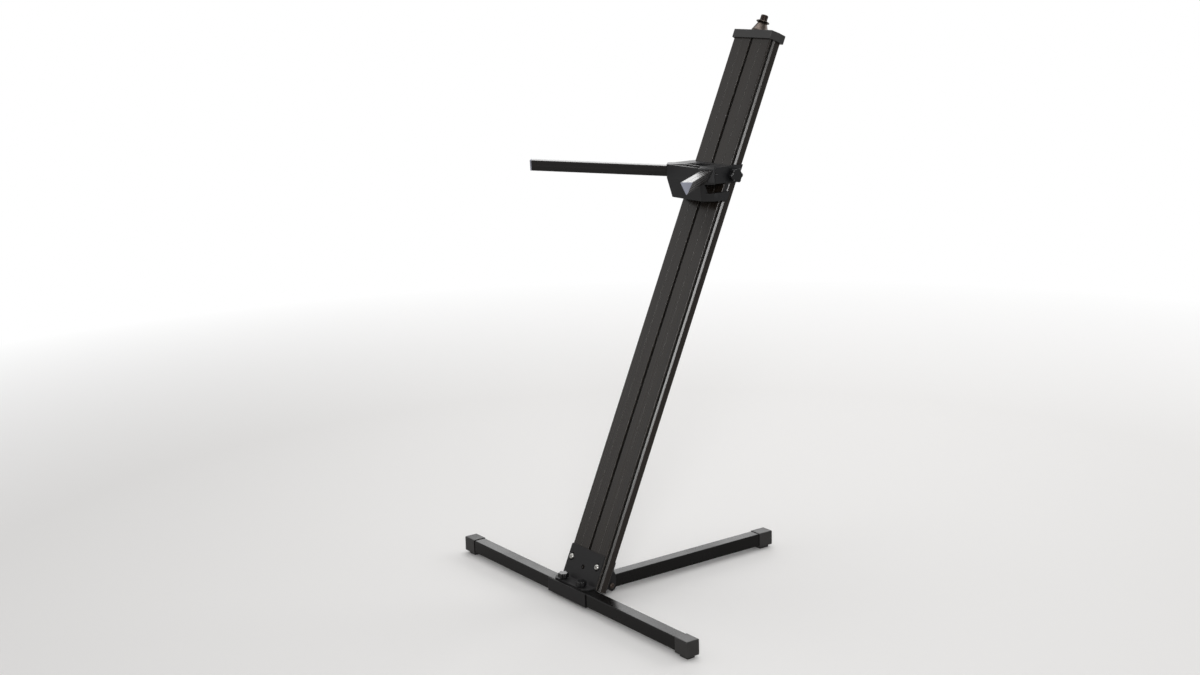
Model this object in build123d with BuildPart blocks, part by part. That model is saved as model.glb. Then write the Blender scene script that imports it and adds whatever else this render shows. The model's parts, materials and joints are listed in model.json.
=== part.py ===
from build123d import *
import os
from math import cos, radians, sin, tan

# Column keyboard stand, in millimetres. +X is the player's right, +Y points away from the
# player and Z = 0 is the floor. The origin is the middle of the stand's footprint.

# Column
column_length = 1219.0
column_width = 117.0
column_depth = 30.0
column_corner = 2.5
column_wall = 2.2
column_web = 1.8
column_lean = 23.8
column_foot_height = 33.3
face_slot_opening = 8.6
face_slot_lip = 2.4
face_slot_width = 17.0
face_slot_depth = 8.8
side_groove_start = 3.0
side_groove_opening = 8.0
side_groove_depth = 6.5
side_lip_run = 3.5
side_lip_depth = 3.0
face_line_offset = 31.5
face_line_width = 1.2
face_line_depth = 0.6
column_plug_length = 14.0

# Base: square tubes, their end caps and the folded channel
crossbar_length = 802.0
tube_side = 28.0
tube_wall = 1.5
tube_corner = 2.0
end_cap_length = 37.0
end_cap_width = 31.0
end_cap_end_wall = 4.0
end_cap_floor = 3.0
end_cap_roof = 1.0
end_cap_corner = 2.0
foot_height = 6.0
foot_inset = 5.5
channel_length = 134.0
channel_wall = 2.0
rear_leg_reach = 540.0
rear_leg_butt = 10.0
rear_leg_pivot_reach = 88.5
rear_leg_pivot_rise = 7.0

# Steel brackets and their fasteners
plate_thickness = 3.0
base_bracket_width = 116.0
base_bracket_height = 74.0
base_bracket_toe = 10.0
base_bracket_bend = 2.0
bracket_corner = 10.0
bracket_bolt_offset = 45.0
bracket_bolt_height = 47.0
bracket_bolt_radius = 3.0
bracket_bolt_head_radius = 6.2
bracket_bolt_head_height = 4.0
bracket_slot_length = 17.5
centre_hole_radius = 5.0
centre_hole_height = 36.0
knob_bolt_offset = 32.0
knob_bolt_radius = 4.0
knob_bolt_head_radius = 8.0
knob_bolt_head_height = 3.2
knob_grip = 9.0
base_knob_radius = 11.5
base_knob_height = 12.0
rear_plate_width = 112.0
rear_plate_start = 5.0
rear_plate_height = 63.0
cheek_low_s = 8.0
cheek_high_s = 64.0
cheek_round = 12.0
cheek_top_reach = 95.0
cheek_top_rise = 33.0
cheek_shoulder_rise = 22.0
pivot_bolt_radius = 3.0
bushing_radius = 4.6
nut_flats = 10.0
nut_height = 5.0

# Top cap and the stud for a microphone boom
cap_skirt = 14.0
cap_top_wall = 4.0
cap_front_half_width = 60.0
cap_half_width = 66.0
cap_overhang = 5.0
cap_rear_overhang = 4.0
cap_corner_run = 17.5
cap_front_round = 2.0
cap_rear_round = 5.0
cone_base_radius = 18.5
cone_base_height = 6.0
cone_top_radius = 8.8
cone_height = 24.0
stud_socket_depth = 21.0
stud_radius = 7.94
stud_root_radius = 7.0
stud_free_length = 12.0
washer_radius = 14.3
washer_thickness = 2.2
washer_dish = 2.4
cone_screw_offset = 13.0
cone_screw_radius = 2.0

# Tier: the clamp round the column and its two arms
tier_height = 812.0
arm_length = 330.0
arm_width = 24.0
arm_rise = 25.0
arm_wall = 2.0
arm_corner = 1.0
arm_land_step = 0.3
arm_land_start = 3.0
arm_splay = 43.1
arm_tilt = 2.9
arm_socket_depth = 36.0
arm_mouth_x = 66.0
arm_mouth_forward = 38.3
arm_mouth_height = 41.0
arm_plug_length = 12.0
arm_cap_thickness = 3.0
socket_wall = 3.5
yoke_half_width = 68.4
yoke_front = 39.5
yoke_foot_half_width = 48.6
yoke_foot_corner_x = 68.0
yoke_foot_corner = 21.1
yoke_facet_run = 10.0
yoke_reach = 75.0
yoke_wall = 4.5
yoke_rim = 17.0
yoke_block_start = 36.0
yoke_height = 70.0
pocket_rear_half = 27.0
pocket_rear = 10.0
pocket_depth = 30.0
pocket_rib = 2.6
pocket_rib_offset = 12.0
window_inset = 10.0
window_reach = 100.0
yoke_wrap = 12.0
clamp_wrap = 24.0
tongue_inset = 4.0
tongue_length = 68.0
clamp_screw_height = 53.0
clamp_screw_radius = 4.0
clamp_insert_radius = 6.0
clamp_knob_radius = 16.0
clamp_knob_height = 14.0
clamp_knob_collar = 4.0
pad_thickness = 6.5
arm_screw_radius = 2.5
arm_screw_back = 14.0
arm_screw_rise = 16.0
arm_screw_start = 9.4
arm_screw_length = 6.0

# Clearances
touch = 0.05
slip = 0.15
apart = 0.3
turning = 0.05

# Heights and lengths that follow from the sizes above
lean = radians(column_lean)
side_groove_end = side_groove_start + side_groove_opening
tube_bottom = foot_height + end_cap_floor
tube_top = tube_bottom + tube_side
cap_top_s = column_length + cap_top_wall
cone_top_s = cap_top_s + cone_height
washer_s = cone_top_s + apart
stud_top_s = washer_s + washer_thickness + stud_free_length
foot_behind_crossbar = tube_side / 2 + slip + channel_wall + apart
washer_reach = (
    foot_behind_crossbar + cone_top_s * sin(lean) + (column_depth / 2 + washer_radius) * cos(lean)
)
reach = max(washer_reach, rear_leg_reach)
crossbar_y = -(reach - end_cap_width / 2) / 2

# Directions of the leaning column
up_column = Vector(0, sin(lean), cos(lean))
back_column = Vector(0, cos(lean), -sin(lean))
right = Vector(1, 0, 0)
column_foot = Vector(0, crossbar_y + foot_behind_crossbar, column_foot_height)


def column_point(x, back, s):
    """A point x to the right, back behind the front face and s along the column."""
    return column_foot + right * x + back_column * back + up_column * s


def across_column(s, back=0.0):
    """Square to the column: x is right, y is back and z is up the column."""
    return Plane(origin=column_point(0, back, s), x_dir=right, z_dir=up_column)


def along_column(back, s=0.0):
    """Parallel to the front face: x is right, y is up the column and z is out of the front."""
    return Plane(origin=column_point(0, back, s), x_dir=right, z_dir=-back_column)


def side_plane(x):
    """Seen from the right: x of the sketch is back and y is up."""
    return Plane(origin=(x, 0, 0), x_dir=(0, 1, 0), z_dir=(1, 0, 0))


def profile_point(x, back, s):
    """The same point as column_point, in the coordinates of side_plane."""
    point = column_point(x, back, s)
    return (point.Y, point.Z)


def square_tube(plane, length, hole_plane=None, hole_points=(), hole_radius=1.0):
    """A square tube along the plane's z, with its centre on the plane's origin."""
    with BuildPart() as tube:
        with BuildSketch(plane):
            RectangleRounded(tube_side, tube_side, tube_corner)
            RectangleRounded(
                tube_side - 2 * tube_wall,
                tube_side - 2 * tube_wall,
                tube_corner - tube_wall / 2,
                mode=Mode.SUBTRACT,
            )
        extrude(amount=length)
        if hole_plane:
            with BuildSketch(hole_plane):
                with Locations(*hole_points):
                    Circle(hole_radius)
            extrude(amount=tube_side, both=True, mode=Mode.SUBTRACT)
    return tube.part


def end_cap(plane):
    """A cap over a tube's end, with its foot. The plane's z points outwards at the tube's end
    and its y points up from the level of the tube's underside."""
    height = end_cap_floor + tube_side + slip + end_cap_roof
    with BuildPart() as cap:
        with BuildSketch(plane.offset(end_cap_end_wall - end_cap_length)):
            with Locations((0, height / 2 - end_cap_floor)):
                RectangleRounded(end_cap_width, height, end_cap_corner)
        extrude(amount=end_cap_length)
        outer_rim = cap.faces().sort_by(Axis(plane.origin, plane.z_dir))[-1].edges()
        chamfer(outer_rim, length=1.2)
        with BuildSketch(plane):
            with Locations((0, tube_side / 2 + slip / 2)):
                RectangleRounded(tube_side + 2 * slip, tube_side + slip, tube_corner)
        extrude(amount=-end_cap_length, mode=Mode.SUBTRACT)
        foot_length = end_cap_length - 2 * foot_inset
        foot_plane = Plane(
            origin=plane.origin
            + plane.z_dir * (end_cap_end_wall - end_cap_length / 2)
            - plane.y_dir * (end_cap_floor - touch),
            x_dir=plane.x_dir,
            z_dir=-plane.y_dir,
        )
        with BuildSketch(foot_plane):
            RectangleRounded(end_cap_width - 2 * foot_inset, foot_length, 3.0)
        extrude(amount=foot_height + touch, taper=5)
    return cap.part


def star_knob(plane, radius, height, collar_height, bore_radius, bore_depth, lobes=6):
    """A lobed knob that stands on the plane, with a blind bore from below."""
    lobe_radius = radius * 0.3
    with BuildPart() as knob:
        with BuildSketch(plane):
            Circle(radius * 0.62)
        extrude(amount=collar_height)
        with BuildSketch(plane.offset(collar_height)):
            Circle(radius * 0.84)
            with PolarLocations(radius - lobe_radius, lobes):
                Circle(lobe_radius)
        extrude(amount=height - collar_height)
        top = knob.faces().sort_by(Axis(plane.origin, plane.z_dir))[-1]
        chamfer(top.edges(), length=radius * 0.08)
        with BuildSketch(plane):
            Circle(bore_radius)
        extrude(amount=bore_depth, mode=Mode.SUBTRACT)
    return knob.part


def dome_bolt(plane, shank_radius, shank_length, head_radius, head_height, socket=True):
    """A bolt whose domed head stands on the plane and whose shank goes the other way."""
    section = Plane(origin=plane.origin, x_dir=plane.x_dir, z_dir=-plane.y_dir)
    with BuildPart() as bolt:
        with BuildSketch(section):
            with BuildLine():
                Line((0, head_height), (0, -shank_length))
                Line((0, -shank_length), (shank_radius, -shank_length))
                Line((shank_radius, -shank_length), (shank_radius, 0))
                Line((shank_radius, 0), (head_radius, 0))
                Line((head_radius, 0), (head_radius, head_height * 0.25))
                JernArc(
                    (head_radius, head_height * 0.25), (0, 1), radius=head_height * 0.75, arc_size=90
                )
                Line((head_radius - head_height * 0.75, head_height), (0, head_height))
            make_face()
        revolve(axis=Axis(plane.origin, plane.z_dir))
        if socket:
            with BuildSketch(plane.offset(head_height)):
                RegularPolygon(shank_radius * 0.72, 6)
            extrude(amount=-head_height * 0.55, mode=Mode.SUBTRACT)
    return bolt.part


def hex_nut(plane, flats, height, bore_radius):
    """A hexagon nut that stands on the plane."""
    with BuildPart() as nut:
        with BuildSketch(plane):
            RegularPolygon(flats / 2, 6, major_radius=False)
            Circle(bore_radius, mode=Mode.SUBTRACT)
        extrude(amount=height)
    return nut.part


def chamber_corners(side, inner, outer):
    """Corners of one hollow of the column's section, on the given side, in x and depth."""
    groove_floor = column_width / 2 - side_groove_depth - column_web
    groove_end = side_groove_end + side_lip_run + column_web
    near_front = [(side * outer, column_wall)]
    if outer > groove_floor:
        near_front = [
            (side * groove_floor, column_wall),
            (side * groove_floor, groove_end),
            (side * outer, groove_end),
        ]
    return [
        (side * inner, column_wall),
        *near_front,
        (side * outer, column_depth - column_wall),
        (side * inner, column_depth - column_wall),
    ]


def chambers(shrink=0.0):
    """The four large hollows of the column's section, or plugs that fit them."""
    inner_start = face_slot_width / 2 + column_web
    web_line = face_line_offset - column_web / 2
    spans = ((inner_start, web_line), (web_line + column_web, column_width / 2 - column_wall))
    with BuildSketch() as section:
        for side in (-1, 1):
            for inner, outer in spans:
                with BuildLine():
                    Polyline(*chamber_corners(side, inner, outer), close=True)
                make_face()
        if shrink:
            offset(amount=-shrink, kind=Kind.INTERSECTION, mode=Mode.REPLACE)
    return section.sketch


# Column
with BuildPart() as column:
    with BuildSketch(across_column(0)):
        with Locations((0, column_depth / 2)):
            RectangleRounded(column_width, column_depth, column_corner)
        for face_depth, inward in ((0, 1), (column_depth, -1)):
            with Locations((0, face_depth + inward * face_slot_lip / 2)):
                Rectangle(face_slot_opening, face_slot_lip + 2 * touch, mode=Mode.SUBTRACT)
            cavity_depth = face_slot_depth - face_slot_lip
            with Locations((0, face_depth + inward * (face_slot_lip + cavity_depth / 2))):
                Rectangle(face_slot_width, cavity_depth, mode=Mode.SUBTRACT)
            for line_x in (-face_line_offset, face_line_offset):
                with Locations((line_x, face_depth)):
                    Rectangle(face_line_width, 2 * face_line_depth, mode=Mode.SUBTRACT)
        for side in (-1, 1):
            groove_x = side * (column_width / 2 - side_groove_depth / 2 + touch)
            with Locations((groove_x, side_groove_start + side_groove_opening / 2)):
                Rectangle(side_groove_depth + 2 * touch, side_groove_opening, mode=Mode.SUBTRACT)
            with BuildLine():
                lip_x = side * column_width / 2
                Polyline(
                    (lip_x, side_groove_end - touch),
                    (lip_x, side_groove_end + side_lip_run),
                    (lip_x - side * side_lip_depth, side_groove_end),
                    (lip_x - side * side_lip_depth, side_groove_end - touch),
                    close=True,
                )
            make_face(mode=Mode.SUBTRACT)
        with Locations((0, column_depth / 2)):
            middle_depth = column_depth - 2 * (face_slot_depth + column_web)
            Rectangle(face_slot_width, middle_depth, mode=Mode.SUBTRACT)
        add(chambers(), mode=Mode.SUBTRACT)
    extrude(amount=column_length)
    with BuildSketch(along_column(0)):
        with Locations(
            (-bracket_bolt_offset, bracket_bolt_height), (bracket_bolt_offset, bracket_bolt_height)
        ):
            Circle(bracket_bolt_radius + slip)
    extrude(amount=-column_depth, mode=Mode.SUBTRACT)

with BuildPart() as column_bottom_plugs:
    with BuildSketch(across_column(0)):
        add(chambers(shrink=slip))
    extrude(amount=column_plug_length)

# Top cap: a cup over the column's end with cut front corners
with BuildPart() as column_top_cap:
    with BuildSketch(across_column(column_length - cap_skirt)):
        with BuildLine():
            Polyline(
                (-cap_front_half_width, -cap_overhang),
                (cap_front_half_width, -cap_overhang),
                (cap_half_width, cap_corner_run - cap_overhang),
                (cap_half_width, column_depth + cap_rear_overhang),
                (-cap_half_width, column_depth + cap_rear_overhang),
                (-cap_half_width, cap_corner_run - cap_overhang),
                close=True,
            )
        make_face()
    extrude(amount=cap_skirt + cap_top_wall)
    upright_edges = column_top_cap.edges().filter_by(Axis((0, 0, 0), up_column))
    rear_edges = upright_edges.group_by(Axis((0, 0, 0), back_column))[-1]
    fillet(rear_edges, radius=cap_rear_round)
    upright_edges = column_top_cap.edges().filter_by(Axis((0, 0, 0), up_column))
    fillet(upright_edges.group_by(Axis((0, 0, 0), back_column))[0], radius=cap_front_round)
    fillet(column_top_cap.faces().sort_by(Axis((0, 0, 0), up_column))[-1].edges(), radius=1.0)
    with BuildSketch(across_column(column_length - cap_skirt)):
        with Locations((0, column_depth / 2)):
            RectangleRounded(column_width + 2 * slip, column_depth + 2 * slip, column_corner + slip)
    extrude(amount=cap_skirt + touch, mode=Mode.SUBTRACT)
    with BuildSketch(across_column(cap_top_s, column_depth / 2)):
        with Locations((-cone_screw_offset, 0), (cone_screw_offset, 0)):
            Circle(cone_screw_radius + slip)
    extrude(amount=-cap_top_wall, mode=Mode.SUBTRACT)
    with BuildSketch(across_column(column_length, column_depth / 2)):
        with Locations((-cone_screw_offset, 0), (cone_screw_offset, 0)):
            Circle(cone_screw_radius * 2 + slip)
    extrude(amount=2.6, taper=30, mode=Mode.SUBTRACT)

mast_section = along_column(column_depth / 2, cap_top_s)
mast_axis = Axis(mast_section.origin, up_column)

with BuildPart() as mic_mount_cone:
    with BuildSketch(mast_section):
        with BuildLine():
            Line((0, 0), (cone_base_radius, 0))
            Line((cone_base_radius, 0), (cone_base_radius, cone_base_height * 0.5))
            Line((cone_base_radius, cone_base_height * 0.5), (cone_base_radius - 1.5, cone_base_height))
            Line((cone_base_radius - 1.5, cone_base_height), (cone_top_radius, cone_height))
            Line((cone_top_radius, cone_height), (0, cone_height))
            Line((0, cone_height), (0, 0))
        make_face()
    revolve(axis=mast_axis)
    with BuildSketch(across_column(cone_top_s, column_depth / 2)):
        Circle(stud_root_radius + touch)
    extrude(amount=-stud_socket_depth, mode=Mode.SUBTRACT)
    with BuildSketch(across_column(cap_top_s, column_depth / 2)):
        with Locations((-cone_screw_offset, 0), (cone_screw_offset, 0)):
            Circle(cone_screw_radius + touch)
    extrude(amount=5.5, mode=Mode.SUBTRACT)

with BuildPart() as mic_mount_stud:
    with BuildSketch(across_column(cone_top_s - stud_socket_depth, column_depth / 2)):
        Circle(stud_root_radius)
    extrude(amount=stud_socket_depth + washer_thickness + 2 * apart)
    with BuildSketch(across_column(washer_s + washer_thickness + apart, column_depth / 2)):
        Circle(stud_radius)
    extrude(amount=stud_free_length - apart)
    chamfer(mic_mount_stud.edges().sort_by(Axis((0, 0, 0), up_column))[-1], length=1.0)

with BuildPart() as mic_mount_screws:
    for screw_x in (-cone_screw_offset, cone_screw_offset):
        screw_plane = across_column(column_length + 2 * touch, column_depth / 2)
        with BuildSketch(screw_plane):
            with Locations((screw_x, 0)):
                Circle(cone_screw_radius * 2)
        extrude(amount=2.4, taper=30)
        with BuildSketch(screw_plane):
            with Locations((screw_x, 0)):
                Circle(cone_screw_radius)
        extrude(amount=cap_top_wall + 5.0)

with BuildPart() as mic_lock_washer:
    with BuildSketch(along_column(column_depth / 2, washer_s)):
        with BuildLine():
            bore = stud_root_radius + turning
            ThreePointArc((bore, 0), ((bore + washer_radius) / 2, -0.2), (washer_radius, -washer_dish * 0.5))
            Line((washer_radius, -washer_dish * 0.5), (washer_radius, -washer_dish * 0.5 + 1.0))
            ThreePointArc(
                (washer_radius, -washer_dish * 0.5 + 1.0),
                ((bore + washer_radius) / 2, washer_thickness - 0.5),
                (bore, washer_thickness),
            )
            Line((bore, washer_thickness), (bore, 0))
        make_face()
    revolve(axis=mast_axis)

# Crossbar: tube, end caps and the channel folded round its middle
tube_middle_height = tube_bottom + tube_side / 2
crossbar_half_tube = crossbar_length / 2 - end_cap_end_wall
knob_bolt_points = ((-knob_bolt_offset, crossbar_y), (knob_bolt_offset, crossbar_y))

with BuildPart() as crossbar_tube:
    add(
        square_tube(
            Plane(origin=(-crossbar_half_tube, crossbar_y, tube_middle_height), x_dir=(0, 1, 0), z_dir=right),
            2 * crossbar_half_tube,
            Plane.XY.offset(tube_middle_height),
            knob_bolt_points,
            knob_bolt_radius + slip,
        )
    )

with BuildPart() as crossbar_end_cap_right:
    add(
        end_cap(
            Plane(origin=(crossbar_half_tube, crossbar_y, tube_bottom), x_dir=(0, 1, 0), z_dir=(1, 0, 0))
        )
    )

with BuildPart() as crossbar_end_cap_left:
    mirror(crossbar_end_cap_right.part, about=Plane.YZ)

channel_inner = tube_side / 2 + slip
channel_bottom = tube_bottom - slip - channel_wall
with BuildPart() as crossbar_channel:
    with BuildSketch(side_plane(0)):
        with Locations((crossbar_y, (channel_bottom + tube_top) / 2)):
            Rectangle(2 * (channel_inner + channel_wall), tube_top - channel_bottom)
        with Locations((crossbar_y, (tube_bottom - slip + tube_top) / 2)):
            Rectangle(2 * channel_inner, tube_top - tube_bottom + slip, mode=Mode.SUBTRACT)
    extrude(amount=channel_length / 2, both=True)
    fillet(crossbar_channel.edges().filter_by(Axis.X).group_by(Axis.Z)[0], radius=channel_wall)
    with BuildSketch(Plane.XY.offset(channel_bottom)):
        with Locations(*knob_bolt_points):
            Circle(knob_bolt_radius + slip)
    extrude(amount=channel_wall, mode=Mode.SUBTRACT)

# Base bracket: bent plate, its foot on the crossbar and its upright on the column's front face
foot_plate_bottom = tube_top + touch
foot_plate_top = foot_plate_bottom + plate_thickness


def bracket_line(back, height):
    """Where a line parallel to the column's front face, back behind it, crosses a height."""
    start = column_point(0, back, 0)
    return start.Y + (height - start.Z) * tan(lean)


bend_outer = (bracket_line(-touch, foot_plate_bottom), foot_plate_bottom)
bend_inner = (bracket_line(-touch - plate_thickness, foot_plate_top), foot_plate_top)
with BuildPart() as base_bracket:
    with BuildSketch(side_plane(0)) as bracket_side:
        with BuildLine():
            Polyline(
                (crossbar_y - base_bracket_toe, foot_plate_bottom),
                bend_outer,
                profile_point(0, -touch, base_bracket_height),
                profile_point(0, -touch - plate_thickness, base_bracket_height),
                bend_inner,
                (crossbar_y - base_bracket_toe, foot_plate_top),
                close=True,
            )
        make_face()
        outer_corner = bracket_side.vertices().sort_by_distance((*bend_outer, 0))[0]
        fillet(outer_corner, radius=base_bracket_bend + plate_thickness)
        inner_corner = bracket_side.vertices().sort_by_distance((*bend_inner, 0))[0]
        fillet(inner_corner, radius=base_bracket_bend)
    extrude(amount=base_bracket_width / 2, both=True)
    chamfer(base_bracket.edges().filter_by(Axis.Z), length=bracket_corner)
    upper_corners = base_bracket.edges().filter_by(Axis((0, 0, 0), back_column)).group_by(Axis.Z)[-1]
    fillet(upper_corners, radius=3.0)
    with BuildSketch(along_column(0)):
        for side in (-1, 1):
            with Locations((side * bracket_bolt_offset, bracket_bolt_height)):
                SlotOverall(bracket_slot_length, 2 * (bracket_bolt_radius + slip), rotation=90)
        with Locations((0, centre_hole_height)):
            Circle(centre_hole_radius)
    extrude(amount=2 * plate_thickness, mode=Mode.SUBTRACT)
    with BuildSketch(Plane.XY.offset(tube_top)):
        with Locations(*knob_bolt_points):
            Circle(knob_bolt_radius + slip)
    extrude(amount=2 * plate_thickness, mode=Mode.SUBTRACT)

bracket_bolt_length = 2 * plate_thickness + column_depth + nut_height + 3 * touch + 2.0
with BuildPart() as base_bracket_bolts:
    for side in (-1, 1):
        head_plane = along_column(-plate_thickness - 2 * touch, bracket_bolt_height)
        head_plane = Plane(head_plane.origin + right * side * bracket_bolt_offset, right, -back_column)
        add(
            dome_bolt(
                head_plane,
                bracket_bolt_radius,
                bracket_bolt_length,
                bracket_bolt_head_radius,
                bracket_bolt_head_height,
            )
        )

rear_plate_back = column_depth + touch + plate_thickness
with BuildPart() as base_bracket_nuts:
    for side in (-1, 1):
        nut_origin = column_point(side * bracket_bolt_offset, rear_plate_back + touch, bracket_bolt_height)
        add(
            hex_nut(
                Plane(nut_origin, right, back_column), nut_flats, nut_height, bracket_bolt_radius + touch
            )
        )

# Two carriage bolts and the knobs that hold the crossbar to the bracket
with BuildPart() as crossbar_bolts:
    for bolt_x, bolt_y in knob_bolt_points:
        add(
            dome_bolt(
                Plane((bolt_x, bolt_y, channel_bottom - touch), right, (0, 0, -1)),
                knob_bolt_radius,
                foot_plate_top + apart + knob_grip - channel_bottom + touch,
                knob_bolt_head_radius,
                knob_bolt_head_height,
                socket=False,
            )
        )

base_knobs = {}
for knob_name, knob_side in (("base_knob_left", -1), ("base_knob_right", 1)):
    with BuildPart() as base_knobs[knob_name]:
        add(
            star_knob(
                Plane((knob_side * knob_bolt_offset, crossbar_y, foot_plate_top + apart), right, (0, 0, 1)),
                base_knob_radius,
                base_knob_height,
                2.5,
                knob_bolt_radius + turning,
                knob_grip + apart,
            )
        )

# Rear leg: bracket on the column's back, tube, end cap and pivot
pivot_y = crossbar_y + rear_leg_pivot_reach
pivot_z = tube_bottom + rear_leg_pivot_rise
cheek_inner = tube_side / 2 + apart
cheek_outer = cheek_inner + plate_thickness
cheek_root = column_depth + plate_thickness / 2
with BuildPart() as rear_leg_bracket:
    with BuildSketch(along_column(column_depth + touch)):
        with Locations((0, rear_plate_start + rear_plate_height / 2)):
            RectangleRounded(rear_plate_width, rear_plate_height, 4.0)
        for side in (-1, 1):
            with Locations((side * bracket_bolt_offset, bracket_bolt_height)):
                Circle(bracket_bolt_radius + slip, mode=Mode.SUBTRACT)
    extrude(amount=-plate_thickness)
    for cheek_start in (cheek_inner, -cheek_outer):
        with BuildSketch(side_plane(cheek_start)):
            with BuildLine():
                Polyline(
                    profile_point(0, cheek_root, cheek_low_s),
                    profile_point(0, cheek_root, cheek_high_s),
                    (crossbar_y + cheek_top_reach, pivot_z + cheek_top_rise),
                    (pivot_y + cheek_round - 1.0, pivot_z + cheek_shoulder_rise),
                    (pivot_y + cheek_round, pivot_z),
                )
                JernArc((pivot_y + cheek_round, pivot_z), (0, -1), radius=cheek_round, arc_size=-90)
                Line((pivot_y, pivot_z - cheek_round), profile_point(0, cheek_root, cheek_low_s))
            make_face()
            with Locations((pivot_y, pivot_z)):
                Circle(pivot_bolt_radius + slip, mode=Mode.SUBTRACT)
        extrude(amount=plate_thickness)

leg_start = pivot_y - rear_leg_butt
leg_tube_length = crossbar_y + rear_leg_reach - end_cap_end_wall - leg_start
with BuildPart() as rear_leg_tube:
    add(
        square_tube(
            Plane(origin=(0, leg_start, tube_middle_height), x_dir=right, z_dir=(0, 1, 0)),
            leg_tube_length,
            side_plane(0),
            ((pivot_y, pivot_z),),
            pivot_bolt_radius + turning,
        )
    )

with BuildPart() as rear_leg_end_cap:
    add(
        end_cap(
            Plane(origin=(0, leg_start + leg_tube_length, tube_bottom), x_dir=(-1, 0, 0), z_dir=(0, 1, 0))
        )
    )

with BuildPart() as rear_leg_bushing:
    with BuildSketch(Plane((0, pivot_y, pivot_z), (0, 1, 0), (1, 0, 0))):
        Circle(bushing_radius)
        Circle(pivot_bolt_radius + turning, mode=Mode.SUBTRACT)
    extrude(amount=tube_side / 2 - tube_wall - touch, both=True)

with BuildPart() as rear_leg_pivot_bolt:
    add(
        dome_bolt(
            Plane((cheek_outer + touch, pivot_y, pivot_z), (0, 1, 0), (1, 0, 0)),
            pivot_bolt_radius,
            2 * cheek_outer + nut_height + 2.0,
            bracket_bolt_head_radius,
            bracket_bolt_head_height,
        )
    )

with BuildPart() as rear_leg_pivot_nut:
    add(
        hex_nut(
            Plane((-cheek_outer - touch, pivot_y, pivot_z), (0, 1, 0), (-1, 0, 0)),
            nut_flats,
            nut_height,
            pivot_bolt_radius + touch,
        )
    )

# Tier: its own frame is level, at the column's front face and the clamp's underside
tier_s = (tier_height - column_foot_height) / cos(lean)
tier_origin = column_point(0, 0, tier_s)
splay = radians(arm_splay)
tilt = radians(arm_tilt)
arm_out = Vector(sin(splay) * cos(tilt), -cos(splay) * cos(tilt), sin(tilt))
arm_side = Vector(cos(splay), sin(splay), 0)
arm_mouth = tier_origin + Vector(arm_mouth_x, -arm_mouth_forward, arm_mouth_height)


def arm_plane(distance):
    """Square to the right arm, at a distance outside its socket's mouth; y is up from the
    bar's lower edge."""
    return Plane(origin=arm_mouth + arm_out * distance, x_dir=arm_side, z_dir=arm_out)


def arm_screw_plane(distance):
    """Square to the right arm's set screw, at a distance from the middle of the bar."""
    middle = arm_plane(-arm_screw_back).from_local_coords(Vector(0, arm_screw_rise, 0))
    return Plane(origin=middle + arm_side * distance, x_dir=(0, 0, 1), z_dir=arm_side)


def arm_triangle(grow=0.0, corner=0.0):
    """The bar's section, with its sides moved outwards by grow and its corners rounded."""
    with BuildSketch() as section:
        with BuildLine():
            Polyline((0, 0), (arm_width / 2, arm_rise), (-arm_width / 2, arm_rise), close=True)
        make_face()
        if grow:
            offset(amount=grow, kind=Kind.INTERSECTION, mode=Mode.REPLACE)
        if corner:
            fillet(section.vertices(), radius=corner)
    return section.sketch


def tier_level(height):
    """A level plane at a height above the clamp's underside."""
    return Plane(origin=tier_origin + Vector(0, 0, height), x_dir=right, z_dir=(0, 0, 1))


def clamp_plane(side, x):
    """Square to the clamp screw on one side, facing outwards."""
    middle = column_point(0, groove_middle, tier_s + clamp_screw_height / cos(lean))
    return Plane(origin=(side * x, middle.Y, middle.Z), x_dir=(0, side, 0), z_dir=(side, 0, 0))


def yoke_outline(front_half_width, front, corner_x, corner, half_width):
    """The clamp's outline in plan: a front wall, a facet at each arm and a side along the column."""
    with BuildSketch() as outline:
        with BuildLine():
            Polyline(
                (-front_half_width, -front),
                (front_half_width, -front),
                (corner_x, -corner),
                (half_width, yoke_facet_run - corner),
                (half_width, yoke_reach),
                (-half_width, yoke_reach),
                (-half_width, yoke_facet_run - corner),
                (-corner_x, -corner),
                close=True,
            )
        make_face()
    return outline.sketch


mouth_half = arm_width / 2 + socket_wall
block_front_half = arm_mouth_x - mouth_half * cos(splay)
block_front = arm_mouth_forward + mouth_half * sin(splay)
block_corner_x = arm_mouth_x + mouth_half * cos(splay)
block_corner = arm_mouth_forward - mouth_half * sin(splay)
pocket_front = yoke_wall - block_front
pocket_front_half = block_front_half - yoke_wall
pocket_waist = pocket_front + (pocket_front_half - pocket_rear_half) * tan(splay)
side_wall_width = yoke_half_width - column_width / 2 - apart
groove_middle = side_groove_start + side_groove_opening / 2
groove_floor_x = column_width / 2 - side_groove_depth
tongue_width = side_groove_opening - 2 * apart
tongue_start = groove_floor_x + 1.0
tongue_end = column_width / 2 + 1.0

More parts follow.
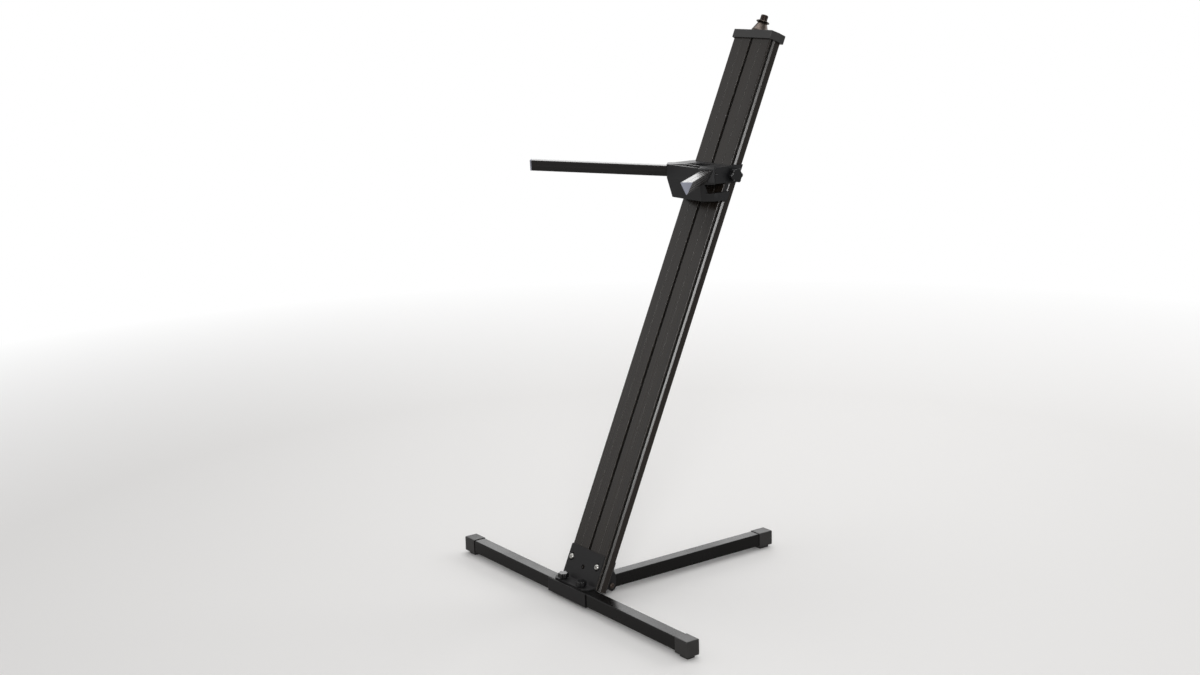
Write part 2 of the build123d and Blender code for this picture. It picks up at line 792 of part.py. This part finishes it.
with BuildPart() as clamp_yoke:
    with BuildSketch(tier_level(0)):
        add(
            yoke_outline(
                yoke_foot_half_width, yoke_front, yoke_foot_corner_x, yoke_foot_corner, yoke_half_width
            )
        )
    with BuildSketch(tier_level(arm_mouth_height)):
        add(yoke_outline(block_front_half, block_front, block_corner_x, block_corner, yoke_half_width))
    loft(ruled=True)
    with BuildSketch(tier_level(arm_mouth_height)):
        add(yoke_outline(block_front_half, block_front, block_corner_x, block_corner, yoke_half_width))
    extrude(amount=yoke_height - arm_mouth_height)
    # The hollow under the arm block, open below
    with BuildSketch(tier_level(0)):
        add(
            yoke_outline(
                yoke_foot_half_width - yoke_wall / 2,
                yoke_front - yoke_wall,
                yoke_foot_corner_x - yoke_wall,
                yoke_foot_corner - yoke_wall / 2,
                yoke_half_width - yoke_wall,
            )
        )
    with BuildSketch(tier_level(yoke_block_start)):
        add(
            yoke_outline(
                block_front_half - yoke_wall / 2,
                block_front - yoke_wall,
                block_corner_x - yoke_wall,
                block_corner - yoke_wall / 2,
                yoke_half_width - yoke_wall,
            )
        )
    loft(ruled=True, mode=Mode.SUBTRACT)
    # Rim walls beside the column
    for side in (-1, 1):
        with BuildSketch(tier_level(0)):
            with Locations((side * (yoke_half_width - side_wall_width / 2), yoke_reach / 2 - 7.5)):
                Rectangle(side_wall_width, yoke_reach + 15.0)
        extrude(amount=yoke_block_start + touch)
    # Windows between the rim and the arm block, at each facet and side
    for side in (-1, 1):
        with BuildSketch(tier_level(yoke_rim)):
            with Locations((side * (yoke_foot_half_width + window_inset + window_reach / 2), 0)):
                Rectangle(window_reach, 2 * window_reach)
        extrude(amount=yoke_block_start - yoke_rim, mode=Mode.SUBTRACT)
    # Sockets for the two arms and the bores of their set screws
    with BuildSketch(arm_plane(-arm_socket_depth)) as socket_section:
        add(arm_triangle(apart))
    socket = extrude(amount=2 * arm_socket_depth, mode=Mode.PRIVATE)
    with BuildSketch(arm_screw_plane(arm_screw_start - apart)) as screw_section:
        Circle(arm_screw_radius + touch)
    screw_bore = extrude(amount=2 * arm_screw_start, mode=Mode.PRIVATE)
    for cut in (socket, screw_bore):
        add(cut, mode=Mode.SUBTRACT)
        add(mirror(cut, about=Plane.YZ, mode=Mode.PRIVATE), mode=Mode.SUBTRACT)
    # The column's way through, and what lies behind the clamp
    with BuildSketch(across_column(tier_s - yoke_height)):
        with Locations((0, yoke_reach / 2)):
            RectangleRounded(column_width + 2 * apart, yoke_reach + 2 * apart, column_corner)
    extrude(amount=3 * yoke_height, mode=Mode.SUBTRACT)
    beyond = 2 * yoke_half_width + yoke_reach
    with BuildSketch(along_column(yoke_wrap)):
        with Locations((0, tier_s - beyond / 2 + yoke_block_start / cos(lean))):
            Rectangle(beyond, beyond)
    extrude(amount=-beyond, mode=Mode.SUBTRACT)
    with BuildSketch(along_column(clamp_wrap)):
        with Locations((0, tier_s)):
            Rectangle(beyond, beyond)
    extrude(amount=-beyond, mode=Mode.SUBTRACT)
    # Ribbed pockets in the top of the arm block
    with BuildSketch(tier_level(yoke_height)):
        with BuildLine():
            Polyline(
                (-pocket_front_half, pocket_front),
                (pocket_front_half, pocket_front),
                (pocket_rear_half, pocket_waist),
                (pocket_rear_half, pocket_rear),
                (-pocket_rear_half, pocket_rear),
                (-pocket_rear_half, pocket_waist),
                close=True,
            )
        make_face()
        with Locations((-pocket_rib_offset, 0), (pocket_rib_offset, 0)):
            Rectangle(pocket_rib, yoke_reach * 2, mode=Mode.SUBTRACT)
        with Locations((0, pocket_waist)):
            Rectangle(yoke_reach * 2, pocket_rib, mode=Mode.SUBTRACT)
    extrude(amount=-pocket_depth, mode=Mode.SUBTRACT)
    # Tongues that run in the column's side grooves
    for side in (-1, 1):
        with BuildSketch(across_column(tier_s + tongue_inset)):
            with Locations((side * (tongue_start + tongue_end) / 2, groove_middle)):
                Rectangle(tongue_end - tongue_start, tongue_width)
        extrude(amount=tongue_length)
    # Bores of the clamp screws and their inserts
    for side in (-1, 1):
        with BuildSketch(clamp_plane(side, groove_floor_x)):
            Circle(clamp_screw_radius + apart)
        extrude(amount=yoke_half_width, mode=Mode.SUBTRACT)
        with BuildSketch(clamp_plane(side, column_width / 2)):
            Circle(clamp_insert_radius)
        extrude(amount=yoke_half_width, mode=Mode.SUBTRACT)

# Clamp screws at the side grooves: threaded inserts, nylon pads, screws and knobs
pad_start = groove_floor_x + apart
screw_tip = pad_start + pad_thickness + apart
knob_start = yoke_half_width + apart
screw_grip = clamp_knob_height * 0.6

with BuildPart() as clamp_inserts:
    for side in (-1, 1):
        with BuildSketch(clamp_plane(side, column_width / 2 + apart)):
            Circle(clamp_insert_radius - touch)
            Circle(clamp_screw_radius + turning, mode=Mode.SUBTRACT)
        extrude(amount=side_wall_width)

with BuildPart() as clamp_pads:
    for side in (-1, 1):
        with BuildSketch(clamp_plane(side, pad_start)):
            Circle(tongue_width / 2)
        extrude(amount=pad_thickness)

clamp_knobs = {}
for side, end in ((-1, "left"), (1, "right")):
    with BuildPart() as clamp_knobs[f"clamp_screw_{end}"]:
        with BuildSketch(clamp_plane(side, screw_tip)):
            Circle(clamp_screw_radius)
        extrude(amount=knob_start + screw_grip - screw_tip)
    with BuildPart() as clamp_knobs[f"clamp_knob_{end}"]:
        add(
            star_knob(
                clamp_plane(side, knob_start),
                clamp_knob_radius,
                clamp_knob_height,
                clamp_knob_collar,
                clamp_screw_radius + touch,
                screw_grip + touch,
            )
        )

# Arms: hollow triangular bars, pale caps in their tips, plugs in their inner ends, set screws
arm_start = -arm_socket_depth + apart
arm_bar_length = arm_length - arm_cap_thickness
arm_end = arm_start + arm_bar_length
with BuildPart() as arm_right:
    with BuildSketch(arm_plane(arm_start)):
        add(arm_triangle(corner=arm_corner))
        add(arm_triangle(-arm_wall), mode=Mode.SUBTRACT)
    extrude(amount=arm_bar_length)
    # The end in the socket is a little lower than the face that carries the keyboard
    with BuildSketch(arm_plane(arm_start)):
        with Locations((0, arm_rise)):
            Rectangle(2 * arm_width, 2 * arm_land_step)
    extrude(amount=arm_socket_depth + arm_land_start, mode=Mode.SUBTRACT)

with BuildPart() as arm_tip_cap_right:
    with BuildSketch(arm_plane(arm_end + touch)):
        add(arm_triangle(corner=arm_corner))
    extrude(amount=arm_cap_thickness)
    with BuildSketch(arm_plane(arm_end + 2 * touch)):
        add(arm_triangle(-arm_wall - slip))
    extrude(amount=-arm_plug_length)

with BuildPart() as arm_root_plug_right:
    with BuildSketch(arm_plane(arm_start)):
        add(arm_triangle(-arm_wall - slip))
    extrude(amount=arm_plug_length)

with BuildPart() as arm_set_screws:
    with BuildSketch(arm_screw_plane(arm_screw_start)):
        Circle(arm_screw_radius)
    extrude(amount=arm_screw_length)
    with BuildSketch(arm_screw_plane(arm_screw_start + arm_screw_length)):
        RegularPolygon(arm_screw_radius * 0.55, 6)
    extrude(amount=-arm_screw_length / 2, mode=Mode.SUBTRACT)
    mirror(about=Plane.YZ)

with BuildPart() as arm_left:
    mirror(arm_right.part, about=Plane.YZ)
with BuildPart() as arm_tip_cap_left:
    mirror(arm_tip_cap_right.part, about=Plane.YZ)
with BuildPart() as arm_root_plug_left:
    mirror(arm_root_plug_right.part, about=Plane.YZ)

pieces = {
    "column": column,
    "column_bottom_plugs": column_bottom_plugs,
    "column_top_cap": column_top_cap,
    "mic_mount_cone": mic_mount_cone,
    "mic_mount_stud": mic_mount_stud,
    "mic_mount_screws": mic_mount_screws,
    "mic_lock_washer": mic_lock_washer,
    "crossbar_tube": crossbar_tube,
    "crossbar_end_cap_left": crossbar_end_cap_left,
    "crossbar_end_cap_right": crossbar_end_cap_right,
    "crossbar_channel": crossbar_channel,
    "crossbar_bolts": crossbar_bolts,
    "base_bracket": base_bracket,
    "base_bracket_bolts": base_bracket_bolts,
    "base_bracket_nuts": base_bracket_nuts,
    **base_knobs,
    "rear_leg_bracket": rear_leg_bracket,
    "rear_leg_tube": rear_leg_tube,
    "rear_leg_end_cap": rear_leg_end_cap,
    "rear_leg_bushing": rear_leg_bushing,
    "rear_leg_pivot_bolt": rear_leg_pivot_bolt,
    "rear_leg_pivot_nut": rear_leg_pivot_nut,
    "clamp_yoke": clamp_yoke,
    "clamp_inserts": clamp_inserts,
    "clamp_pads": clamp_pads,
    **clamp_knobs,
    "arm_left": arm_left,
    "arm_right": arm_right,
    "arm_tip_cap_left": arm_tip_cap_left,
    "arm_tip_cap_right": arm_tip_cap_right,
    "arm_root_plug_left": arm_root_plug_left,
    "arm_root_plug_right": arm_root_plug_right,
    "arm_set_screws": arm_set_screws,
}

os.makedirs("parts", exist_ok=True)
for name, piece in pieces.items():
    piece.part.label = name
    export_step(piece.part, f"parts/{name}.step")
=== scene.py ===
import json
from math import cos, pi, radians, sin

import bpy
from mathutils import Matrix, Vector


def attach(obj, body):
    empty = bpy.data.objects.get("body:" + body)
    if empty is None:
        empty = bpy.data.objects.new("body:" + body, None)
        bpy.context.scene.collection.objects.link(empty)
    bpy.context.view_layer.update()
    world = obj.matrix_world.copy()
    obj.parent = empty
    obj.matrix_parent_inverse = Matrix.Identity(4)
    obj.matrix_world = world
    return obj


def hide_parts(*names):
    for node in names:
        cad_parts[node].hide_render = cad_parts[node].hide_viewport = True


# Looks of the column keyboard stand, in metres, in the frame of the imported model.

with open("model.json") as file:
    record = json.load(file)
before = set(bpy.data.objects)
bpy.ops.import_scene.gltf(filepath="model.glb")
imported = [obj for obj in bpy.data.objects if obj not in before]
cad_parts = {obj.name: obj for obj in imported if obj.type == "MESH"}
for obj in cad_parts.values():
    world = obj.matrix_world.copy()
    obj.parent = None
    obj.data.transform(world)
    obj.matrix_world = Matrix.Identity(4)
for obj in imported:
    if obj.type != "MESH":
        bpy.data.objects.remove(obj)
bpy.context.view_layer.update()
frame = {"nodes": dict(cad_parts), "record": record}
nodes = frame["nodes"]

# Directions that the finishes follow
LEAN = radians(23.8)
UP_COLUMN = (0.0, sin(LEAN), cos(LEAN))
ARM_SPLAY = radians(43.1)
ARM_TILT = radians(2.9)
ARM_OUT = (sin(ARM_SPLAY) * cos(ARM_TILT), -cos(ARM_SPLAY) * cos(ARM_TILT), sin(ARM_TILT))
ARM_OUT_LEFT = (-ARM_OUT[0], ARM_OUT[1], ARM_OUT[2])


# Node helpers
BEVEL_SAMPLES = 4
HOLLOW_SAMPLES = 6
NOISE_LOW, NOISE_HIGH = 0.35, 0.65
EDGE_TURN = (0.80, 0.995)
HOLLOW_OPENNESS = (0.34, 0.66)


def colour_or_socket(value):
    """A colour without alpha gets its alpha, and a socket stays as it is."""
    return value if isinstance(value, bpy.types.NodeSocket) else (*value, 1)


class Shader:
    """One material's node tree, with short calls for the nodes that the finishes use."""

    def __init__(self, name, colour, roughness, metallic=0.0, specular=0.5):
        self.material = bpy.data.materials.new(name)
        self.material.use_nodes = True
        self.tree = self.material.node_tree
        self.tree.nodes.clear()
        self.output = self.add("ShaderNodeOutputMaterial")
        self.surface = self.add("ShaderNodeBsdfPrincipled")
        self.surface.inputs["Base Color"].default_value = (*colour, 1)
        self.surface.inputs["Roughness"].default_value = roughness
        self.surface.inputs["Metallic"].default_value = metallic
        self.surface.inputs["Specular IOR Level"].default_value = specular
        self.link(self.surface.outputs[0], self.output.inputs["Surface"])
        self.position = self.add("ShaderNodeTexCoord").outputs["Object"]
        self.normal = None

    def add(self, kind, **settings):
        node = self.tree.nodes.new(kind)
        for key, value in settings.items():
            setattr(node, key, value)
        return node

    def link(self, output, socket):
        self.tree.links.new(output, socket)

    def feed(self, socket, value):
        if isinstance(value, bpy.types.NodeSocket):
            self.link(value, socket)
        else:
            socket.default_value = value

    def vector_math(self, operation, first, second):
        node = self.add("ShaderNodeVectorMath", operation=operation)
        self.feed(node.inputs[0], first)
        if operation == "SCALE":
            self.feed(node.inputs["Scale"], second)
        else:
            self.feed(node.inputs[1], second)
        return node.outputs["Value" if operation == "DOT_PRODUCT" else "Vector"]

    def math(self, operation, first, second=0.5):
        node = self.add("ShaderNodeMath", operation=operation)
        self.feed(node.inputs[0], first)
        self.feed(node.inputs[1], second)
        return node.outputs[0]

    def stretched(self, axis, across, along):
        """Coordinates that vary across times a metre across the axis and along times along it."""
        reach = self.vector_math("DOT_PRODUCT", self.position, axis)
        line = self.vector_math("SCALE", axis, reach)
        fine = self.vector_math("SCALE", self.position, across)
        return self.vector_math(
            "SUBTRACT", fine, self.vector_math("SCALE", line, across - along)
        )

    def noise(self, scale, detail=3.0, roughness=0.5, vector=None):
        node = self.add("ShaderNodeTexNoise")
        self.link(vector or self.position, node.inputs["Vector"])
        node.inputs["Scale"].default_value = scale
        node.inputs["Detail"].default_value = detail
        node.inputs["Roughness"].default_value = roughness
        return node.outputs["Fac"]

    def ramp(self, value, low, high, from_low=NOISE_LOW, from_high=NOISE_HIGH):
        node = self.add("ShaderNodeMapRange")
        self.feed(node.inputs["Value"], value)
        node.inputs["From Min"].default_value = from_low
        node.inputs["From Max"].default_value = from_high
        node.inputs["To Min"].default_value = low
        node.inputs["To Max"].default_value = high
        return node.outputs["Result"]

    def mix(self, factor, first, second):
        node = self.add("ShaderNodeMix", data_type="RGBA")
        self.feed(node.inputs[0], factor)
        self.feed(node.inputs[6], colour_or_socket(first))
        self.feed(node.inputs[7], colour_or_socket(second))
        return node.outputs[2]

    def edges(self, radius):
        """Near 1 at convex and concave edges and 0 on flat faces."""
        bevel = self.add("ShaderNodeBevel", samples=BEVEL_SAMPLES)
        bevel.inputs["Radius"].default_value = radius
        face = self.add("ShaderNodeNewGeometry")
        turn = self.vector_math("DOT_PRODUCT", bevel.outputs[0], face.outputs["Normal"])
        return self.ramp(turn, 1.0, 0.0, *EDGE_TURN)

    def hollows(self, reach):
        """Near 1 deep inside a groove or a corner and 0 on open faces: an ambient occlusion mask
        of where shade falls, used to paint shade there.
        """
        shade = self.add("ShaderNodeAmbientOcclusion", samples=HOLLOW_SAMPLES, only_local=True)
        shade.inputs["Distance"].default_value = reach
        return self.ramp(shade.outputs["AO"], 1.0, 0.0, *HOLLOW_OPENNESS)

    def line_pair(self, offset, width):
        """Near 1 on two thin lines along the column, offset to each side of its middle."""
        parts = self.add("ShaderNodeSeparateXYZ")
        self.link(self.position, parts.inputs[0])
        aside = self.math("ABSOLUTE", parts.outputs["X"])
        away = self.math("ABSOLUTE", self.math("SUBTRACT", aside, offset))
        return self.ramp(away, 1.0, 0.0, 0.5 * width, width)

    def soften(self, radius):
        """Rounds the look of sharp edges."""
        bevel = self.add("ShaderNodeBevel", samples=BEVEL_SAMPLES)
        bevel.inputs["Radius"].default_value = radius
        self.normal = bevel.outputs[0]

    def bump(self, height, strength, distance):
        node = self.add("ShaderNodeBump")
        node.inputs["Strength"].default_value = strength
        node.inputs["Distance"].default_value = distance
        self.link(height, node.inputs["Height"])
        if self.normal:
            self.link(self.normal, node.inputs["Normal"])
        self.normal = node.outputs[0]

    def colour(self, value):
        self.link(value, self.surface.inputs["Base Color"])

    def roughness(self, value):
        self.link(value, self.surface.inputs["Roughness"])

    def finish(self):
        if self.normal:
            self.link(self.normal, self.surface.inputs["Normal"])
        return self.material


def scaled(colour, factor):
    return tuple(channel * factor for channel in colour)


# Finishes
BUMP_DEPTH = 0.0002
STREAK_SCALE = (420.0, 0.9)
BAND_SCALE = (70.0, 0.5)
EDGE_WIDTH = 0.0013
EDGE_BARE = (0.30, 0.28, 0.26)
LINE_HIGHLIGHT = (0.070, 0.066, 0.062)
GROOVE_REACH = 0.012
FACE_LINES = (0.0315, 0.0012)
ANODISED_SPECULAR = 0.42
ANODISED_ROUGHNESS = (0.20, 0.30)
HOLLOW_ROUGHNESS = 0.75
HOLLOW_SHADE = 0.05
ANODISED_SOFTENING = 0.0006


def anodised(name, axis, colour, lines=None):
    """Black anodised aluminium: extrusion lines along the axis, edges rubbed a little bare, shade
    painted into grooves and corners, and, when lines are given, two painted highlight lines on the
    face.
    """
    shader = Shader(name, colour, ANODISED_ROUGHNESS[0], specular=ANODISED_SPECULAR)
    streaks = shader.noise(1.0, 2.0, 0.6, shader.stretched(axis, *STREAK_SCALE))
    wide = shader.noise(1.0, 2.0, 0.5, shader.stretched(axis, *BAND_SCALE))
    tone = shader.mix(shader.ramp(streaks, 0.0, 1.0), scaled(colour, 0.70), scaled(colour, 1.35))
    tone = shader.mix(shader.ramp(wide, 0.0, 0.45), tone, scaled(colour, 1.7))
    patches = shader.ramp(shader.noise(9.0), 0.45, 0.90)
    rub = shader.math("MULTIPLY", shader.edges(EDGE_WIDTH), patches)
    tone = shader.mix(rub, tone, EDGE_BARE)
    # Painted highlight: two thin lighter lines along the face grooves, broken up by the wide
    # bands.
    if lines:
        line_highlight = shader.math("MULTIPLY", shader.line_pair(*lines), shader.ramp(wide, 0.35, 0.75))
        tone = shader.mix(line_highlight, tone, LINE_HIGHLIGHT)
    # Painted shade: the colour goes near black deep in grooves and corners, where shade falls, and
    # the roughness rises there.
    shaded_hollow = shader.hollows(GROOVE_REACH)
    shader.colour(shader.mix(shaded_hollow, tone, scaled(colour, HOLLOW_SHADE)))
    sheen = shader.ramp(streaks, *ANODISED_ROUGHNESS)
    dull = shader.ramp(shaded_hollow, 0.0, HOLLOW_ROUGHNESS, 0.0, 1.0)
    shader.roughness(shader.math("MAXIMUM", sheen, dull))
    shader.soften(ANODISED_SOFTENING)
    return shader.finish()


COAT_SPECULAR = 0.30
COAT_BARE = (0.05, 0.048, 0.046)
COAT_PEEL_SCALE = 1400.0
COAT_SOFTENING = 0.0008


def powder_coat(name, colour, roughness):
    """Powder-coated steel: a fine orange-peel surface with slight rubbing at the edges."""
    shader = Shader(name, colour, roughness, specular=COAT_SPECULAR)
    peel = shader.noise(COAT_PEEL_SCALE, 3.0)
    cloud = shader.noise(14.0, 4.0)
    tone = shader.mix(shader.ramp(cloud, 0.0, 1.0), scaled(colour, 0.85), scaled(colour, 1.25))
    patches = shader.ramp(shader.noise(40.0), 0.0, 0.18)
    rub = shader.math("MULTIPLY", shader.edges(0.0010), patches)
    shader.colour(shader.mix(rub, tone, COAT_BARE))
    shader.roughness(shader.ramp(cloud, roughness - 0.05, roughness + 0.07))
    shader.soften(COAT_SOFTENING)
    shader.bump(peel, 0.18, BUMP_DEPTH)
    return shader.finish()


MOULD_SOFTENING = 0.0009


def moulded(name, colour, roughness, grain=2200.0, strength=0.25):
    """Moulded plastic with a fine spark-eroded grain."""
    shader = Shader(name, colour, roughness)
    fine = shader.noise(grain, 2.0)
    cloud = shader.noise(22.0, 4.0)
    tone = shader.mix(shader.ramp(cloud, 0.0, 1.0), scaled(colour, 0.88), scaled(colour, 1.14))
    edge = shader.math("MULTIPLY", shader.edges(0.0012), 0.35)
    shader.colour(shader.mix(edge, tone, scaled(colour, 1.9)))
    shader.roughness(shader.ramp(cloud, roughness - 0.04, roughness + 0.06))
    shader.soften(MOULD_SOFTENING)
    shader.bump(fine, strength, BUMP_DEPTH)
    return shader.finish()


TURNING_SCALE = (150.0, 2500.0)
PLATE_SOFTENING = 0.0003


def plated(name, colour, roughness):
    """Plated or blackened steel with faint turning marks and a cloudy tone."""
    shader = Shader(name, colour, roughness, metallic=1.0)
    marks = shader.noise(1.0, 3.0, 0.6, shader.stretched((0.0, 0.0, 1.0), *TURNING_SCALE))
    cloud = shader.noise(180.0, 4.0)
    mottle = shader.ramp(cloud, 0.0, 1.0)
    shader.colour(shader.mix(mottle, scaled(colour, 0.8), scaled(colour, 1.1)))
    shader.roughness(shader.ramp(marks, roughness - 0.08, roughness + 0.12))
    shader.soften(PLATE_SOFTENING)
    shader.bump(marks, 0.06, 0.0001)
    return shader.finish()


finishes = {
    "anodised": anodised("column_anodised", UP_COLUMN, (0.0125, 0.0090, 0.0066), FACE_LINES),
    "black_tube": powder_coat("tube_powder_coat", (0.0018, 0.0015, 0.0014), 0.22),
    "black_plate": powder_coat("plate_powder_coat", (0.013, 0.0125, 0.013), 0.45),
    "grey_plastic": moulded("cap_plastic", (0.027, 0.026, 0.0255), 0.36),
    "black_plastic": moulded("knob_plastic", (0.004, 0.004, 0.0045), 0.20, strength=0.05),
    "yoke_plastic": moulded("yoke_plastic", (0.008, 0.008, 0.009), 0.40),
    "pale_plastic": moulded("pale_plastic", (0.26, 0.27, 0.33), 0.50),
    "bright_steel": plated("bright_plating", (0.62, 0.61, 0.58), 0.30),
    "dark_steel": plated("blackened_steel", (0.115, 0.094, 0.082), 0.36),
    "brass": plated("brass", (0.62, 0.45, 0.20), 0.35),
    "nylon": moulded("nylon", (0.72, 0.70, 0.62), 0.55),
}
node_finishes = {
    "rear_leg_pivot_bolt": finishes["dark_steel"],
    "rear_leg_pivot_nut": finishes["dark_steel"],
    "arm_right": anodised("arm_anodised_right", ARM_OUT, (0.010, 0.009, 0.009)),
    "arm_left": anodised("arm_anodised_left", ARM_OUT_LEFT, (0.010, 0.009, 0.009)),
}
for entry in frame["record"]["subparts"]:
    name = entry["node"]
    finish = node_finishes.get(name, finishes[entry["material_slot"]])
    for slot in nodes[name].material_slots:
        slot.material = finish


# Threaded stud in place of the plain one
THREAD_PITCH = 0.0254 / 27
THREAD_DEPTH = 0.00055
THREAD_SIDES = 72
ROWS_A_PITCH = 8
STUD_CHAMFER = 0.0011


def threaded_stud():
    """The stud with its real thread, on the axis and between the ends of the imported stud."""
    stud = nodes["mic_mount_stud"]
    up = Vector(UP_COLUMN)
    east = Vector((1.0, 0.0, 0.0))
    north = up.cross(east)
    points = [stud.matrix_world @ vertex.co for vertex in stud.data.vertices]
    reaches = [point.dot(up) for point in points]
    middle_north = 0.5 * (min(p.dot(north) for p in points) + max(p.dot(north) for p in points))
    radii = [Vector((p.x, p.dot(north) - middle_north)).length for p in points]
    crest, low, high = max(radii), min(reaches), max(reaches)
    shoulder = min(reach for reach, radius in zip(reaches, radii) if radius > crest - 0.0001)
    neck = max(radius for reach, radius in zip(reaches, radii) if reach < low + 0.0001)
    rows = [(low, neck, False), (shoulder, neck, False)]
    steps = round((high - shoulder) / THREAD_PITCH * ROWS_A_PITCH)
    for step in range(steps + 1):
        reach = shoulder + (high - shoulder) * step / steps
        from_end = min(reach - shoulder, high - reach)
        rows.append((reach, crest - max(0.0, STUD_CHAMFER - from_end), True))
    verts, faces = [], []
    for reach, limit, is_thread in rows:
        for side in range(THREAD_SIDES):
            angle = 2 * pi * side / THREAD_SIDES
            radius = limit
            if is_thread:
                phase = (reach / THREAD_PITCH - side / THREAD_SIDES) % 1.0
                radius = min(limit, crest - THREAD_DEPTH * abs(2 * phase - 1))
            place = up * reach + north * (middle_north + radius * sin(angle))
            verts.append(place + east * radius * cos(angle))
    for row in range(len(rows) - 1):
        for side in range(THREAD_SIDES):
            here, after = row * THREAD_SIDES + side, row * THREAD_SIDES + (side + 1) % THREAD_SIDES
            faces.append((here, after, after + THREAD_SIDES, here + THREAD_SIDES))
    faces.append(tuple(reversed(range(THREAD_SIDES))))
    faces.append(tuple(range((len(rows) - 1) * THREAD_SIDES, len(rows) * THREAD_SIDES)))
    mesh = bpy.data.meshes.new("mic_mount_stud_thread")
    mesh.from_pydata(verts, [], faces)
    mesh.materials.append(finishes["dark_steel"])
    piece = bpy.data.objects.new("mic_mount_stud_thread", mesh)
    bpy.context.collection.objects.link(piece)
    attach(piece, "stand")
    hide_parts("mic_mount_stud")


threaded_stud()

# Floor and light
CAMERA_WHITE = 1.0
GLOSSY_WHITE = 0.38
FLOOR_SEEN = (0.82, 0.81, 0.80)
FLOOR_BOUNCED = (0.40, 0.39, 0.38)
FLOOR_FADE = (1.6, 3.4)
FLOOR_SIZE = 40.0
WORLD_LEVEL = 0.28


def background_strength(tree, plain):
    """What camera and glossy rays see in place of the plain level."""
    path = tree.nodes.new("ShaderNodeLightPath")
    total = plain
    for ray, level in (("Is Camera Ray", CAMERA_WHITE), ("Is Glossy Ray", GLOSSY_WHITE)):
        node = tree.nodes.new("ShaderNodeMath")
        node.operation = "MULTIPLY_ADD"
        tree.links.new(path.outputs[ray], node.inputs[0])
        node.inputs[1].default_value = level - plain
        if isinstance(total, float):
            node.inputs[2].default_value = total
        else:
            tree.links.new(total, node.inputs[2])
        total = node.outputs[0]
    return total


floor_shader = Shader("floor_paint", FLOOR_SEEN, 0.65, specular=0.25)
seen = floor_shader.add("ShaderNodeLightPath").outputs["Is Camera Ray"]
floor_shader.colour(floor_shader.mix(seen, FLOOR_BOUNCED, FLOOR_SEEN))
distance = floor_shader.add("ShaderNodeVectorMath", operation="LENGTH")
floor_shader.link(floor_shader.position, distance.inputs[0])
fade = floor_shader.ramp(distance.outputs["Value"], 0.0, 1.0, *FLOOR_FADE)
glow = floor_shader.add("ShaderNodeEmission")
floor_shader.link(background_strength(floor_shader.tree, 0.0), glow.inputs["Strength"])
blend = floor_shader.add("ShaderNodeMixShader")
floor_shader.link(fade, blend.inputs[0])
floor_shader.link(floor_shader.surface.outputs[0], blend.inputs[1])
floor_shader.link(glow.outputs[0], blend.inputs[2])
floor_shader.link(blend.outputs[0], floor_shader.output.inputs["Surface"])

floor_mesh = bpy.data.meshes.new("floor")
corners = [(x * FLOOR_SIZE, y * FLOOR_SIZE, 0) for x, y in ((-1, -1), (1, -1), (1, 1), (-1, 1))]
floor_mesh.from_pydata(corners, [], [(0, 1, 2, 3)])
floor = bpy.data.objects.new("floor", floor_mesh)
floor.data.materials.append(floor_shader.finish())
bpy.context.collection.objects.link(floor)

world = bpy.data.worlds.new("studio")
bpy.context.scene.world = world
world.use_nodes = True
sky = world.node_tree.nodes["Background"]
sky.inputs["Color"].default_value = (1.0, 1.0, 1.0, 1)
world_level = background_strength(world.node_tree, WORLD_LEVEL)
world.node_tree.links.new(world_level, sky.inputs["Strength"])


# Each lamp's place, target, width and height, and power
LAMPS = {
    "window": ((3.75, -2.85, 2.25), (0, 0, 0.6), (1.3, 1.8), 120),
    "overhead": ((-0.6, 0.6, 3.6), (0, 0.2, 0.3), (2.6, 2.6), 55),
    "back": ((-2.9, 2.4, 1.6), (0, 0, 0.2), (3.2, 1.6), 26),
    "rear": ((0.4, 3.8, 2.2), (0, 0, 0.6), (2.6, 2.0), 36),
    "front_left": ((-2.7, -2.1, 1.8), (0, 0, 0.6), (2.6, 2.2), 9),
}


def area_light(name, place, target, size, power):
    lamp = bpy.data.lights.new(name, "AREA")
    lamp.shape = "RECTANGLE"
    lamp.size, lamp.size_y = size
    lamp.energy = power
    item = bpy.data.objects.new(name, lamp)
    item.location = place
    item.visible_camera = False
    item.rotation_euler = (Vector(target) - Vector(place)).to_track_quat("-Z", "Y").to_euler()
    bpy.context.collection.objects.link(item)


for lamp_name, lamp_values in LAMPS.items():
    area_light(lamp_name, *lamp_values)

# Camera at the photograph's place
PHOTO_WIDTH = 1200
FOCAL_PIXELS = 1750.0
YAW, PITCH, ROLL = radians(54.40), radians(12.63), radians(-1.49)
camera_place = Vector((2.8491, -2.2177, 1.3356))
forward = Vector((-sin(YAW) * cos(PITCH), cos(YAW) * cos(PITCH), -sin(PITCH)))
level_right = Vector((cos(YAW), sin(YAW), 0))
level_up = level_right.cross(forward)
view_right = cos(ROLL) * level_right + sin(ROLL) * level_up
view_up = -sin(ROLL) * level_right + cos(ROLL) * level_up
lens = bpy.data.cameras.new("camera")
lens.sensor_width = 36.0
lens.lens = lens.sensor_width * FOCAL_PIXELS / PHOTO_WIDTH
lens.clip_start, lens.clip_end = 0.05, 100.0
camera = bpy.data.objects.new("camera", lens)
turn = Matrix((view_right, view_up, -forward)).transposed()
camera.matrix_world = Matrix.Translation(camera_place) @ turn.to_4x4()
bpy.context.collection.objects.link(camera)
bpy.context.scene.camera = camera
bpy.context.scene.view_settings.view_transform = "Standard"
